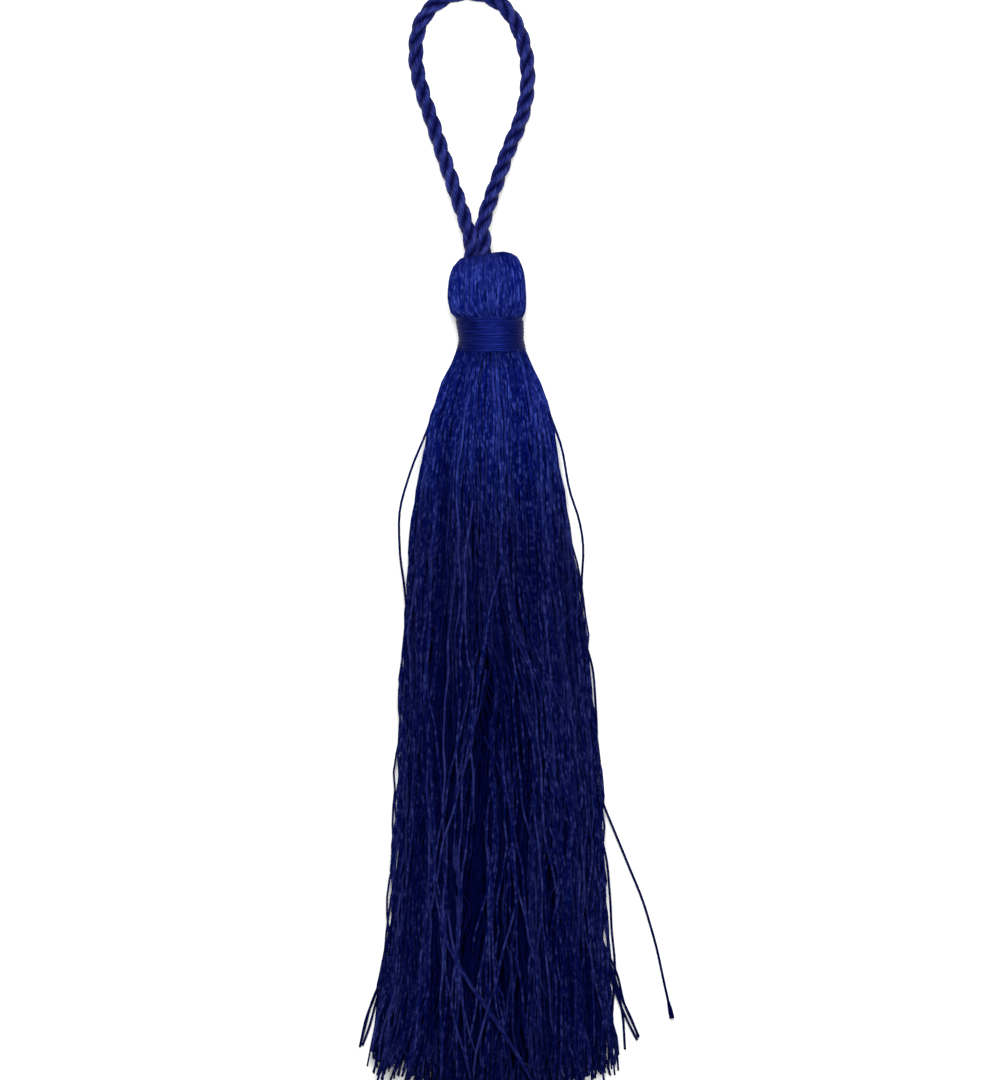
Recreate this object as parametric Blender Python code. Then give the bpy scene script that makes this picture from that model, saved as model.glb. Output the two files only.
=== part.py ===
"""A silky tassel lying on its back: a thread bundle (head and skirt), a wound neck binding and a twisted loop.

+Y runs from the skirt up to the loop, +Z is up, and the tassel rests on z = 0.
The origin is on that plane, under the middle of the head. Tables are in millimetres.
"""

import math
import random

import bmesh
import bpy
from mathutils import Vector

MM = 0.001

# ---- Driving dimensions, in millimetres. "Down" is the distance below the crown, towards the hem. ----
ORIGIN_DOWN = 5.0  # the origin lies under the middle of the head
AXIS_HEIGHT = 5.35  # of the head's centre line
HEAD_FLATTENING = 0.97  # height over width, of the head, the neck and the binding
HEAD_RIB = 0.03  # height of the head's thread ribs, as a share of its radius
PIECE_GAP = 0.3

CORD_DIAMETER = 2.34
CORD_LAY = 9.0  # length of one full turn of the three plies
CORD_STEP = 0.9
CURVE_STEPS = 12  # between two points of the loop's route
CORD_PLIES = 3
CORD_LOBE = (1.0, 0.93, 0.76, 0.93)  # the radius from the top of one ply to the groove beside it, as shares
LEG_SPACING = 2.45  # between the centre lines of the cord's two legs in the crown
LEGS_CENTRE = -1.86  # across, where the legs enter the crown
LEG_STRAIGHT = 0.6  # how far above the crown the legs run straight
EXIT_HEIGHT = 5.9
EXIT_DOWN = 2.9  # the depth of the cord's ends in the crown
DESCENT_LENGTH = 27.0  # the cord sinks from the crown to the floor over this length
FLOOR_GAP = 0.03  # the cord lies this much clear of the floor
CROWN_RIM_DOWN = 0.7  # of the pocket that the cord's ends lie in
CROWN_TILT = 0.35  # the pocket's rim is this much higher on the right than in the middle

NECK_RADIUS = 4.3
NECK_CENTRE = 0.1
NECK_HEIGHT = 5.3
COLLAR_RADIUS = 5.9
COLLAR_LIFT = 0.1  # least height of the neck and the collar over the floor
BINDING_TOP = 10.15
BINDING_BOTTOM = 15.7
BINDING_TURNS = 10
BINDING_SIDES = 28
TURN_RIDGE = 0.1

HEM_CENTRE = 130.0
HEM_CORNER_RISE = 6.5  # the hem's corners are this much higher than its middle
HEM_BOW = 2.2  # the power of the hem's curve
HEM_RAGGEDNESS = 1.1
HEM_MOST_OFF = 2.0
SHORT_SHARE = 0.15  # of the strands, which are cut shorter
SHORT_BY = (1.5, 5.0)
STRAND_SHARE = (0.58, 0.70)  # of its cell that a strand fills, across and up
LOCK_WIDTH = 0.75  # of a loose lock
LOCK_THICKNESS = 0.5
LOCK_LIFT = 0.25  # its height over the skirt's own strands
LOCK_ROOT_SHARE = 0.75  # of a collar face that a loose lock springs from

COLUMNS = 21  # cells across the bundle, each of which holds two strands
LAYERS = 6
CORNER_ANGLE = math.radians(25)  # of the round section's four corners
DOME_CORNER = math.radians(45)  # of the lying section's two upper corners
DOME_ROUNDNESS = 0.88  # 1 makes its outline an ellipse
SWAY_LENGTH = 60.0  # the strands lean fully at this distance below the collar
LEAN = 0.045  # of a whole layer, as a share of the skirt's half width
FAN = 0.05  # of the strands to both sides of a parting
BUNCH = 0.026  # of the strands towards the middle of a lock
BUNCH_RATE = 13.0
BUNCH_DRIFT = 11.0  # millimetres down in which a bunch moves on by one radian

# The crown and the head: down on the left side, down on the right side, centre across, half width.
HEAD_RINGS = (
    {"left": 1.25, "right": 0.05, "centre": -0.87, "half": 3.90},
    {"left": 1.70, "right": 0.62, "centre": -0.57, "half": 4.50},
    {"left": 2.48, "right": 1.55, "centre": -0.59, "half": 5.14},
    {"left": 3.60, "right": 2.90, "centre": -0.49, "half": 5.63},
    {"left": 4.90, "right": 4.60, "centre": -0.49, "half": 5.93},
    {"left": 6.90, "right": 6.90, "centre": -0.49, "half": 6.01},
    {"left": 8.40, "right": 8.40, "centre": -0.43, "half": 5.87},
    {"left": 9.30, "right": 9.30, "centre": -0.34, "half": 5.72},
    {"left": 9.75, "right": 9.75, "centre": -0.19, "half": 5.46},
)

# The binding's outer face: share of its height from the top, radius.
BINDING_PROFILE = (
    (0.0, 5.10),
    (0.1, 5.26),
    (0.35, 5.16),
    (0.6, 5.06),
    (0.8, 5.26),
    (0.95, 5.36),
    (1.0, 5.20),
)

# The skirt's sections: down, centre across, half width, height, clear height under it, and how far it has
# slumped from a round section (0) to a dome with a flat underside (1).
SKIRT_SECTIONS = (
    {"down": 17.4, "centre": 0.20, "half": 6.20, "height": 10.5, "clear": 0.15, "slump": 0.0},
    {"down": 27.0, "centre": 0.15, "half": 9.90, "height": 11.3, "clear": 0.00, "slump": 0.35},
    {"down": 43.0, "centre": 0.10, "half": 12.7, "height": 11.2, "clear": 0.00, "slump": 0.8},
    {"down": 72.0, "centre": 1.10, "half": 15.1, "height": 10.3, "clear": 0.00, "slump": 1.0},
    {"down": 106.0, "centre": 1.40, "half": 17.4, "height": 9.2, "clear": 0.00, "slump": 1.0},
    {"down": 134.0, "centre": 0.20, "half": 20.8, "height": 8.0, "clear": 0.00, "slump": 1.0},
)
ROOT = SKIRT_SECTIONS[0]

# The loop's centre line, from the left leg round to the right one: across, up from the crown.
LOOP_ROUTE = (
    (-3.60, 3.50),
    (-4.43, 6.70),
    (-5.98, 11.30),
    (-7.53, 16.00),
    (-9.02, 20.65),
    (-10.55, 25.30),
    (-11.50, 30.00),
    (-11.12, 34.70),
    (-9.33, 37.90),
    (-6.40, 39.90),
    (-3.30, 40.45),
    (-0.20, 39.80),
    (2.63, 37.80),
    (4.55, 34.50),
    (5.70, 30.00),
    (5.75, 25.30),
    (4.75, 20.65),
    (2.87, 16.00),
    (1.25, 11.30),
    (-0.35, 6.70),
    (-0.72, 3.50),
)

# Locks that lie loose over the skirt or stray from it. A place round the section's edge is a "turn": -1 to 1
# goes across the top from left to right, and on to -2 or 2 down that side to the floor. Each row has the turn
# at the collar and at the five sections below it, how far the lock stands off the skirt at those sections in
# millimetres, and where it is cut.
CLOSE = (0, 0, 0, 0, 0)
LOOSE_LOCKS = (
    {"root": -0.95, "turns": (-0.93, -0.90, -0.88, -0.86, -0.84), "off": CLOSE, "cut": 127.0},
    {"root": -0.77, "turns": (-0.76, -0.78, -0.76, -0.70, -0.62), "off": CLOSE, "cut": 129.5},
    {"root": -0.59, "turns": (-0.60, -0.64, -0.61, -0.52, -0.40), "off": CLOSE, "cut": 131.0},
    {"root": -0.41, "turns": (-0.44, -0.50, -0.48, -0.36, -0.10), "off": CLOSE, "cut": 131.5},
    {"root": -0.23, "turns": (-0.24, -0.30, -0.32, -0.20, 0.10), "off": CLOSE, "cut": 132.0},
    {"root": -0.05, "turns": (-0.05, -0.10, -0.12, 0.02, 0.26), "off": CLOSE, "cut": 130.0},
    {"root": 0.14, "turns": (0.15, 0.13, 0.16, 0.30, 0.44), "off": CLOSE, "cut": 131.0},
    {"root": 0.32, "turns": (0.33, 0.32, 0.42, 0.56, 0.60), "off": CLOSE, "cut": 129.0},
    {"root": 0.50, "turns": (0.51, 0.54, 0.66, 0.76, 0.72), "off": CLOSE, "cut": 128.0},
    {"root": 0.68, "turns": (0.70, 0.75, 0.84, 0.90, 0.84), "off": CLOSE, "cut": 126.5},
    {"root": 0.95, "turns": (0.98, 1.06, 1.16, 1.20, 1.10), "off": (0, 0, 0, 0, 0.3), "cut": 125.0},
    {"root": 1.25, "turns": (1.30, 1.70, 1.50, 1.90, 1.95), "off": (0, 1.0, 0, 6.1, 10.1), "cut": 119.0},
    {"root": 1.58, "turns": (1.70, 1.90, 1.80, 1.60, 1.50), "off": (0, 0.6, 0.4, 0, 5.0), "cut": 122.5},
    {"root": -1.25, "turns": (-1.25, -1.15, -1.12, -1.15, -1.25), "off": (0, 0, 0, 0, 1.5), "cut": 123.5},
    {"root": -1.58, "turns": (-1.60, -1.80, -1.40, -1.50, -1.60), "off": (0, 1.4, 0, 0, 0.3), "cut": 121.0},
)


def clear_scene():
    for obj in list(bpy.data.objects):
        bpy.data.objects.remove(obj, do_unlink=True)


def material(name, colour, roughness):
    made = bpy.data.materials.new(name)
    made.use_nodes = True
    shader = made.node_tree.nodes["Principled BSDF"]
    shader.inputs["Base Color"].default_value = (*colour, 1.0)
    shader.inputs["Roughness"].default_value = roughness
    shader.inputs["Metallic"].default_value = 0.0
    return made


def add_object(name, mesh_builder, finish):
    """Links one object made from a bmesh, with its faces pointing out and its ribs kept crisp."""
    bmesh.ops.recalc_face_normals(mesh_builder, faces=mesh_builder.faces)
    mesh = bpy.data.meshes.new(name)
    mesh_builder.to_mesh(mesh)
    mesh_builder.free()
    mesh.materials.append(finish)
    mesh.shade_smooth()
    mesh.set_sharp_from_angle(angle=math.radians(50))
    obj = bpy.data.objects.new(name, mesh)
    bpy.context.scene.collection.objects.link(obj)
    return obj


def place(across, down, height):
    """The point at these millimetres, in metres in the part's frame."""
    return Vector((across, ORIGIN_DOWN - down, height)) * MM


def bridge(builder, ring, next_ring):
    """Joins two closed rings of as many points with a band of faces."""
    for k in range(len(ring)):
        after = (k + 1) % len(ring)
        builder.faces.new((ring[k], ring[after], next_ring[after], next_ring[k]))


def inset(builder, ring, share):
    """A smaller copy of a face's ring of points, joined to it. A strand springs from it."""
    middle = sum((corner.co for corner in ring), Vector()) / len(ring)
    inner = [builder.verts.new(middle.lerp(corner.co, share)) for corner in ring]
    bridge(builder, ring, inner)
    return inner


def blend(a, b, share):
    return a + (b - a) * share


# ---- The bundle's sections. A place in a section is (g, h), each from -1 to 1, across and up. ----


def round_section(g, h):
    """A place in the unit disc, from its (g, h)."""
    return (
        g * math.sqrt(1 - (math.sin(CORNER_ANGLE) * h) ** 2),
        h * math.sqrt(1 - (math.cos(CORNER_ANGLE) * g) ** 2),
    )


def dome_section(g, h):
    """A place in a half disc, a little fuller at its two shoulders, from its (g, h)."""
    rise = (h + 1) / 2
    return (
        g * math.sqrt(1 - DOME_ROUNDNESS * (math.sin(DOME_CORNER) * rise) ** 2),
        rise * math.sqrt(1 - DOME_ROUNDNESS * (math.cos(DOME_CORNER) * g) ** 2),
    )


def skirt_point(g, h, section):
    round_x, round_z = round_section(g, h)
    dome_x, dome_z = dome_section(g, h)
    across = blend(round_x, dome_x, section["slump"])
    rise = blend((round_z + 1) / 2, dome_z, section["slump"])
    return place(
        section["centre"] + section["half"] * across,
        section["down"],
        section["clear"] + section["height"] * rise,
    )


def grid_value(index, count):
    return -1 + 2 * index / count


def boundary_walk():
    """The (column, layer) corners round the section's edge, anticlockwise from its lower left."""
    walk = [(i, 0) for i in range(COLUMNS)]
    walk += [(COLUMNS, j) for j in range(LAYERS)]
    walk += [(i, LAYERS) for i in range(COLUMNS, 0, -1)]
    walk += [(0, j) for j in range(LAYERS, 0, -1)]
    return walk


# ---- The head ----


def pocket_ring(directions, down):
    """A ring round both legs of the cord, with a gap."""
    shift = LEG_SPACING / 2
    reach = CORD_DIAMETER / 2 + PIECE_GAP
    return [
        place(
            LEGS_CENTRE + shift * max(-1, min(1, 2 * x)) + reach * x,
            down - CROWN_TILT * x,
            EXIT_HEIGHT + reach * z,
        )
        for x, z in directions
    ]


def head_ring(directions, row):
    """A ribbed ring of the head, with a flat spot where it rests on the floor."""
    ring = []
    for k, (x, z) in enumerate(directions):
        rib = 1 + HEAD_RIB * (-1) ** k
        down = blend(row["left"], row["right"], (x + 1) / 2)
        height = AXIS_HEIGHT + row["half"] * HEAD_FLATTENING * z * rib
        ring.append(place(row["centre"] + row["half"] * x * rib, down, max(0.0, height)))
    return ring


def neck_ring(directions, radius, down):
    return [
        place(
            NECK_CENTRE + radius * x,
            down,
            max(COLLAR_LIFT, NECK_HEIGHT + HEAD_FLATTENING * radius * z),
        )
        for x, z in directions
    ]


def head_rings(directions):
    """Rings down the head: the crown's pocket, the dome, the neck and the collar below the binding."""
    neck_end = BINDING_BOTTOM + PIECE_GAP
    return [
        pocket_ring(directions, EXIT_DOWN + PIECE_GAP),
        pocket_ring(directions, CROWN_RIM_DOWN),
        *(head_ring(directions, row) for row in HEAD_RINGS),
        neck_ring(directions, NECK_RADIUS, BINDING_TOP - PIECE_GAP),
        neck_ring(directions, NECK_RADIUS, neck_end),
        neck_ring(directions, COLLAR_RADIUS, neck_end + COLLAR_LIFT),
    ]


# ---- The skirt's strands ----


def layer_sway(layer, g, down):
    """How far a layer's strands lean across, in g. Each layer leans and bunches its own way."""
    spread = min(1.0, (down - ROOT["down"]) / SWAY_LENGTH) ** 2
    phase = layer / 2
    lean = LEAN * math.sin(phase + 0.9)
    fan = FAN * math.sin(math.pi * g + phase)
    bunch = BUNCH * math.sin(BUNCH_RATE * g + down / BUNCH_DRIFT + phase)
    return spread * (1 - g**4) * (lean + fan + bunch)


def cell_triangles(column, layer):
    """The two triangles of a grid cell, as (column, layer) corners, cut apart along the line to the nearest
    corner of the grid."""
    low_left, low_right = (column, layer), (column + 1, layer)
    top_left, top_right = (column, layer + 1), (column + 1, layer + 1)
    if (column < COLUMNS / 2) == (layer < LAYERS / 2):
        return (low_left, low_right, top_right), (low_left, top_right, top_left)
    return (low_left, low_right, top_left), (low_right, top_right, top_left)


def shrunk(corners, share, rests=False):
    """The triangle in (g, h) made smaller about its middle, or towards the floor if it rests there."""
    middle_g = sum(g for g, _ in corners) / 3
    middle_h = -1.0 if rests else sum(h for _, h in corners) / 3
    return [(blend(middle_g, g, share), blend(middle_h, h, share)) for g, h in corners]


def hem_down(g, dice):
    """Where a strand is cut: a bowed hem, uneven by a millimetre or so, with some shorter strands."""
    cut = HEM_CENTRE - HEM_CORNER_RISE * abs(g) ** HEM_BOW
    cut += max(-HEM_MOST_OFF, min(HEM_MOST_OFF, dice.gauss(0, HEM_RAGGEDNESS)))
    if dice.random() < SHORT_SHARE:
        cut -= dice.uniform(*SHORT_BY)
    return cut


def bridge_hollow(builder, ring, next_ring):
    """Joins two rings of a strand with triangles, split so that a twisted side bends in and not out."""
    middle = sum((corner.co for corner in [*ring, *next_ring]), Vector()) / (2 * len(ring))
    for k in range(len(ring)):
        after = (k + 1) % len(ring)
        a, b, c, d = ring[k], ring[after], next_ring[after], next_ring[k]
        if ((a.co + c.co) / 2 - middle).length > ((b.co + d.co) / 2 - middle).length:
            a, b, c, d = b, c, d, a
        builder.faces.new((a, b, c))
        builder.faces.new((a, c, d))


def pull_out(builder, root_ring, rings, cut):
    """Carries a strand from its root through its rings, one a section, and cuts it in the last stretch."""
    above, below = SKIRT_SECTIONS[-2]["down"], SKIRT_SECTIONS[-1]["down"]
    share = (cut - above) / (below - above)
    rings[-1] = [start.lerp(end, share) for start, end in zip(rings[-2], rings[-1])]
    ring = root_ring
    for points in rings:
        next_ring = [builder.verts.new(point) for point in points]
        bridge_hollow(builder, ring, next_ring)
        ring = next_ring
    builder.faces.new(ring)


def edge_place(turn):
    """The (g, h) of a turn round the section's edge."""
    if abs(turn) <= 1:
        return turn, 1.0
    return math.copysign(1.0, turn), 1 - 2 * (abs(turn) - 1)


def loose_ring(turn, off, section):
    """A lock's four corners on the skirt's surface: its underside from left to right, then its outer side."""
    middle, before, after = (
        skirt_point(*edge_place(max(-2, min(2, place_round))), section)
        for place_round in (turn, turn - 0.02, turn + 0.02)
    )
    along = (after - before).normalized()
    outward = Vector((-along.z, 0.0, along.x))
    half = LOCK_WIDTH / 2 * MM
    inner = middle + outward * (LOCK_LIFT + off) * MM
    outer = inner + outward * LOCK_THICKNESS * MM
    ring = [inner - along * half, inner + along * half, outer + along * half, outer - along * half]
    sunk = min(0.0, *(corner.z for corner in ring))
    return [corner - Vector((0, 0, sunk)) for corner in ring]


def add_loose_lock(builder, collar_quad, lock):
    """Pulls one lock out of the collar's side and lays it over the skirt."""
    root_ring = inset(builder, collar_quad, LOCK_ROOT_SHARE)
    below = zip(lock["turns"], lock["off"], SKIRT_SECTIONS[1:])
    pull_out(builder, root_ring, [loose_ring(*row) for row in below], lock["cut"])


def add_collar(builder, upper, lower, walk):
    """The collar's side, a band of faces from which the loose locks spring."""
    locks = {}
    for lock in LOOSE_LOCKS:
        g, h = edge_place(lock["root"])
        column, layer = (g + 1) / 2 * COLUMNS, (h + 1) / 2 * LAYERS
        distances = []
        for k, (i, j) in enumerate(walk):
            i_next, j_next = walk[(k + 1) % len(walk)]
            distances.append((math.hypot((i + i_next) / 2 - column, (j + j_next) / 2 - layer), k))
        locks[min(distances)[1]] = lock
    for k in range(len(walk)):
        after = (k + 1) % len(walk)
        # From the left corner below, which is the hem's side, round to the left corner above.
        quad = (lower[after], lower[k], upper[k], upper[after])
        if k in locks:
            add_loose_lock(builder, quad, locks[k])
        else:
            builder.faces.new(quad)


def thread_bundle(finish):
    builder = bmesh.new()
    corner = {}
    for i in range(COLUMNS + 1):
        for j in range(LAYERS + 1):
            point = skirt_point(grid_value(i, COLUMNS), grid_value(j, LAYERS), ROOT)
            corner[i, j] = builder.verts.new(point)

    walk = boundary_walk()
    directions = [round_section(grid_value(i, COLUMNS), grid_value(j, LAYERS)) for i, j in walk]
    rings = [[builder.verts.new(point) for point in ring] for ring in head_rings(directions)]
    for ring, next_ring in zip(rings, rings[1:]):
        bridge(builder, ring, next_ring)
    builder.faces.new(rings[0])
    add_collar(builder, rings[-1], [corner[key] for key in walk], walk)

    dice = random.Random(7)
    for i in range(COLUMNS):
        for j in range(LAYERS):
            share = dice.uniform(*STRAND_SHARE)
            for cell in cell_triangles(i, j):
                outline = [(grid_value(a, COLUMNS), grid_value(b, LAYERS)) for a, b in cell]
                root_ring = inset(builder, [corner[key] for key in cell], share)
                corners = shrunk(outline, share, rests=j == 0)
                cut = hem_down(sum(g for g, _ in corners) / 3, dice)
                rings = [
                    [skirt_point(g + layer_sway(j, g, row["down"]), h, row) for g, h in corners]
                    for row in SKIRT_SECTIONS[1:]
                ]
                pull_out(builder, root_ring, rings, cut)
    return add_object("thread_bundle", builder, finish)


# ---- The binding ----


def profile_radius(share):
    rows = zip(BINDING_PROFILE, BINDING_PROFILE[1:])
    above, below = next(pair for pair in rows if share <= pair[1][0])
    return blend(above[1], below[1], (share - above[0]) / (below[0] - above[0]))


def neck_binding(finish):
    """A sleeve of close turns: a ridged section carried once round the neck."""
    length = BINDING_BOTTOM - BINDING_TOP
    inner = NECK_RADIUS + PIECE_GAP
    rows = 2 * BINDING_TURNS
    section = [(inner, BINDING_TOP)]
    for k in range(rows + 1):
        share = k / rows
        ridge = TURN_RIDGE / 2 if k % 2 else -TURN_RIDGE / 2
        section.append((profile_radius(share) + ridge, BINDING_TOP + share * length))
    section.append((inner, BINDING_BOTTOM))

    builder = bmesh.new()
    rings = []
    for k in range(BINDING_SIDES):
        turn = 2 * math.pi * k / BINDING_SIDES
        ring = [
            place(
                NECK_CENTRE + radius * math.cos(turn),
                down,
                NECK_HEIGHT + HEAD_FLATTENING * radius * math.sin(turn),
            )
            for radius, down in section
        ]
        rings.append([builder.verts.new(point) for point in ring])
    for k in range(BINDING_SIDES):
        bridge(builder, rings[k], rings[(k + 1) % BINDING_SIDES])
    return add_object("neck_binding", builder, finish)


# ---- The hanging loop ----


def smooth_curve(points, steps):
    """Points along a Catmull-Rom curve through these ones."""
    ends = [2 * points[0] - points[1], *points, 2 * points[-1] - points[-2]]
    made = []
    for a, b, c, d in zip(ends, ends[1:], ends[2:], ends[3:]):
        for k in range(steps):
            t = k / steps
            bend = (2 * a - 5 * b + 4 * c - d) * t**2 + (3 * b - a - 3 * c + d) * t**3
            made.append(0.5 * (2 * b + (c - a) * t + bend))
    return [*made, points[-1]]


def evenly(points, step):
    """The same line again, with points a whole number of equal steps apart."""
    along = [0.0]
    for a, b in zip(points, points[1:]):
        along.append(along[-1] + (b - a).length)
    count = round(along[-1] / step)
    made, k = [], 0
    for n in range(count + 1):
        wanted = along[-1] * n / count
        while k < len(points) - 2 and along[k + 1] < wanted:
            k += 1
        share = (wanted - along[k]) / (along[k + 1] - along[k])
        made.append(points[k].lerp(points[k + 1], min(1.0, share)))
    return made


def loop_line():
    """The cord's centre line: out of the crown, down to the floor, round, and back the same way."""
    half = LEG_SPACING / 2
    flat = [(LEGS_CENTRE - half, -EXIT_DOWN), (LEGS_CENTRE - half, LEG_STRAIGHT)]
    flat += LOOP_ROUTE
    flat += [(LEGS_CENTRE + half, LEG_STRAIGHT), (LEGS_CENTRE + half, -EXIT_DOWN)]
    route = smooth_curve([Vector((across, up, 0.0)) for across, up in flat], CURVE_STEPS)
    lying = CORD_DIAMETER / 2 + FLOOR_GAP
    for point in route:
        share = max(0.0, min(1.0, point.y / DESCENT_LENGTH))
        sunk = share * share * (3 - 2 * share)
        point.z = blend(EXIT_HEIGHT, lying, sunk)
    return evenly([place(point.x, -point.y, point.z) for point in route], CORD_STEP * MM)


def hanging_loop(finish):
    """Three plies as one lobed section, which turns once in each lay as it follows the line."""
    sides = CORD_PLIES * len(CORD_LOBE)
    line = loop_line()
    up = Vector((0, 0, 1))
    builder = bmesh.new()
    rings = []
    for k, centre in enumerate(line):
        forward = (line[min(k + 1, len(line) - 1)] - line[max(k - 1, 0)]).normalized()
        aside = forward.cross(up).normalized()
        above = aside.cross(forward)
        ring = []
        for n in range(sides):
            turn = 2 * math.pi * (n / sides - k * CORD_STEP / CORD_LAY)
            radius = CORD_DIAMETER / 2 * MM * CORD_LOBE[n % len(CORD_LOBE)]
            ring.append(centre + radius * (math.cos(turn) * aside + math.sin(turn) * above))
        rings.append([builder.verts.new(point) for point in ring])
    for ring, next_ring in zip(rings, rings[1:]):
        bridge(builder, ring, next_ring)
    builder.faces.new(rings[0])
    builder.faces.new(rings[-1])
    return add_object("hanging_loop", builder, finish)


def main():
    clear_scene()
    thread_bundle(material("rayon_thread", (0.010, 0.018, 0.115), 0.42))
    neck_binding(material("binding_thread", (0.010, 0.016, 0.105), 0.38))
    hanging_loop(material("loop_cord", (0.014, 0.020, 0.120), 0.45))


main()
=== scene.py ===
import math

import bpy
import numpy as np
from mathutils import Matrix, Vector


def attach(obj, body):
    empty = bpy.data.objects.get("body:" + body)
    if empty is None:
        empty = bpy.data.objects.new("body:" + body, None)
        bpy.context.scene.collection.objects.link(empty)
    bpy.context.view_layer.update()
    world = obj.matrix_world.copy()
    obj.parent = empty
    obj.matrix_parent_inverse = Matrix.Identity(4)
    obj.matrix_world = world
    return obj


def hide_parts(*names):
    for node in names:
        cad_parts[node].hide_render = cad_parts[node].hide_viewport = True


# Lengths are in millimetres unless a name says otherwise. "Down" is the distance from the crown towards
# the hem, "across" runs to the right, and "up" is the height over the surface that the tassel lies on.
mm = 0.001
originDown = 5.0
upwards = (0, 0, 1)
dice = np.random.default_rng(23)

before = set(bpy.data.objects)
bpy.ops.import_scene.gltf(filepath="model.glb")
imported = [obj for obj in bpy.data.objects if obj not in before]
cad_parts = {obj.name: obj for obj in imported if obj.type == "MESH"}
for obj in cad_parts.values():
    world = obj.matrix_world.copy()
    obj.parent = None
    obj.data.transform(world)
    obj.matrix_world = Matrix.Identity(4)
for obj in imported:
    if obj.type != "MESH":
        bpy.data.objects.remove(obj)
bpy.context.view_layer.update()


# small tools


def place(across, down, up):
    # the point that far across, down and up, in metres in the part's frame
    return np.stack(np.broadcast_arrays(across, originDown - down, up), axis=-1) * mm


def blend(a, b, share):
    return a + (b - a) * share


def smoothStep(low, high, value):
    # 0 below low, 1 above high, and 3t² - 2t³ between them
    t = np.clip((value - low) / (high - low), 0, 1)
    return t * t * (3 - 2 * t)


def unit(vectors):
    return vectors / np.linalg.norm(vectors, axis=-1, keepdims=True)


def lengthAlong(paths):
    # how far along its path each point is, in millimetres: the sum of the straight steps before it
    steps = np.linalg.norm(np.diff(paths, axis=1), axis=-1) / mm
    return np.concatenate([np.zeros((len(paths), 1)), np.cumsum(steps, axis=1)], axis=1)


def readTable(rows, column, at):
    # a column of a table read at any value of its first column, along straight lines between the rows
    rows = np.array(rows)
    return np.interp(at, rows[:, 0], rows[:, column])


def throughPoints(points, steps):
    # a Catmull-Rom curve: each stretch is a cubic in t whose ends run parallel to their neighbours' chord
    points = np.asarray(points, float)
    points = np.vstack([2 * points[0] - points[1], points, 2 * points[-1] - points[-2]])
    a, b, c, d = (points[k : len(points) - 3 + k, None] for k in range(4))
    t = (np.arange(steps) / steps)[None, :, None]
    curve = 0.5 * (2 * b + (c - a) * t + (2 * a - 5 * b + 4 * c - d) * t**2 + (3 * b - a - 3 * c + d) * t**3)
    return np.vstack([curve.reshape(-1, points.shape[1]), points[-2]])


def evenly(line, count):
    # the same line again, as that many points at equal steps along it
    along = lengthAlong(line[None] * mm)[0]
    wanted = np.linspace(0, along[-1], count)
    return np.stack([np.interp(wanted, along, line[:, k]) for k in range(line.shape[1])], axis=-1)


def tube(paths, radius, sides, aside, tone, depth):
    # round every point of every path a ring of points: path + radius (cos a · side + sin a · top), where side
    # and top lie across the path and side is square to the direction given as aside. Depth is how deep in
    # painted shade each point of the thread is, mostly how far it lies under the surface of what it belongs
    # to
    along = unit(np.gradient(paths, axis=1))
    side = unit(np.cross(along, aside))
    top = np.cross(side, along)
    turn = 2 * np.pi * (np.arange(sides) + 0.5) / sides
    radius = np.broadcast_to(radius, paths.shape[:2])[:, :, None, None] * mm
    ring = np.cos(turn)[:, None] * side[:, :, None] + np.sin(turn)[:, None] * top[:, :, None]
    return {
        "rings": paths[:, :, None] + radius * ring,
        "along": lengthAlong(paths),
        "tone": tone,
        "depth": np.broadcast_to(depth, paths.shape[:2]),
    }


def newPiece(name, tubes, finish, replaced=()):
    # one mesh of many tubes. Each tube is a grid of rings by sides, closed by a face at both ends. Its UV
    # map is millimetres along by turns round. It has one tone for the whole thread and one depth for a ring
    points, faces, uvs, tones, depths, start = [], [], [], [], [], 0
    for batch in tubes:
        rings, along = batch["rings"], batch["along"]
        count, length, sides = rings.shape[:3]
        index = start + np.arange(count * length * sides).reshape(count, length, sides)
        after = np.roll(index, -1, axis=2)
        quads = np.stack([index[:, :-1], index[:, 1:], after[:, 1:], after[:, :-1]], axis=-1)
        faces += quads.reshape(-1, 4).tolist()
        near = np.broadcast_to(along[:, :-1, None], quads.shape[:3])
        far = np.broadcast_to(along[:, 1:, None], quads.shape[:3])
        left = np.broadcast_to(np.arange(sides) / sides, quads.shape[:3])
        right = left + 1 / sides
        uvs.append(np.stack([near, left, far, left, far, right, near, right], axis=-1).reshape(-1, 2))
        for ring, order in ((0, 1), (-1, -1)):
            faces += index[:, ring, ::order].tolist()
            capAlong = np.repeat(along[:, ring], sides)
            uvs.append(np.stack([capAlong, np.zeros_like(capAlong)], axis=-1))
        points.append(rings.reshape(-1, 3))
        tones.append(np.repeat(batch["tone"], length * sides))
        depths.append(np.repeat(batch["depth"], sides))
        start += rings[..., 0].size
    mesh = bpy.data.meshes.new(name)
    mesh.from_pydata(np.concatenate(points), [], faces)
    mesh.uv_layers.new(name="threadUv").data.foreach_set("uv", np.concatenate(uvs).astype(np.float32).ravel())
    for key, values in (("tone", tones), ("depth", depths)):
        values = np.concatenate(values).astype(np.float32)
        mesh.attributes.new(key, "FLOAT", "POINT").data.foreach_set("value", values)
    mesh.shade_smooth()
    mesh.materials.append(finish)
    piece = bpy.data.objects.new(name, mesh)
    bpy.context.scene.collection.objects.link(piece)
    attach(piece, "root")
    if replaced:
        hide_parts(*replaced)
    print(name, "has", sum(len(face) - 2 for face in faces), "triangles")
    return piece


# finishes


def linear(hexColour):
    # an sRGB hex colour as linear red, green, blue and an alpha of 1
    parts = [int(hexColour[k : k + 2], 16) / 255 for k in (1, 3, 5)]
    return [c / 12.92 if c <= 0.04045 else ((c + 0.055) / 1.055) ** 2.4 for c in parts] + [1.0]


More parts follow.
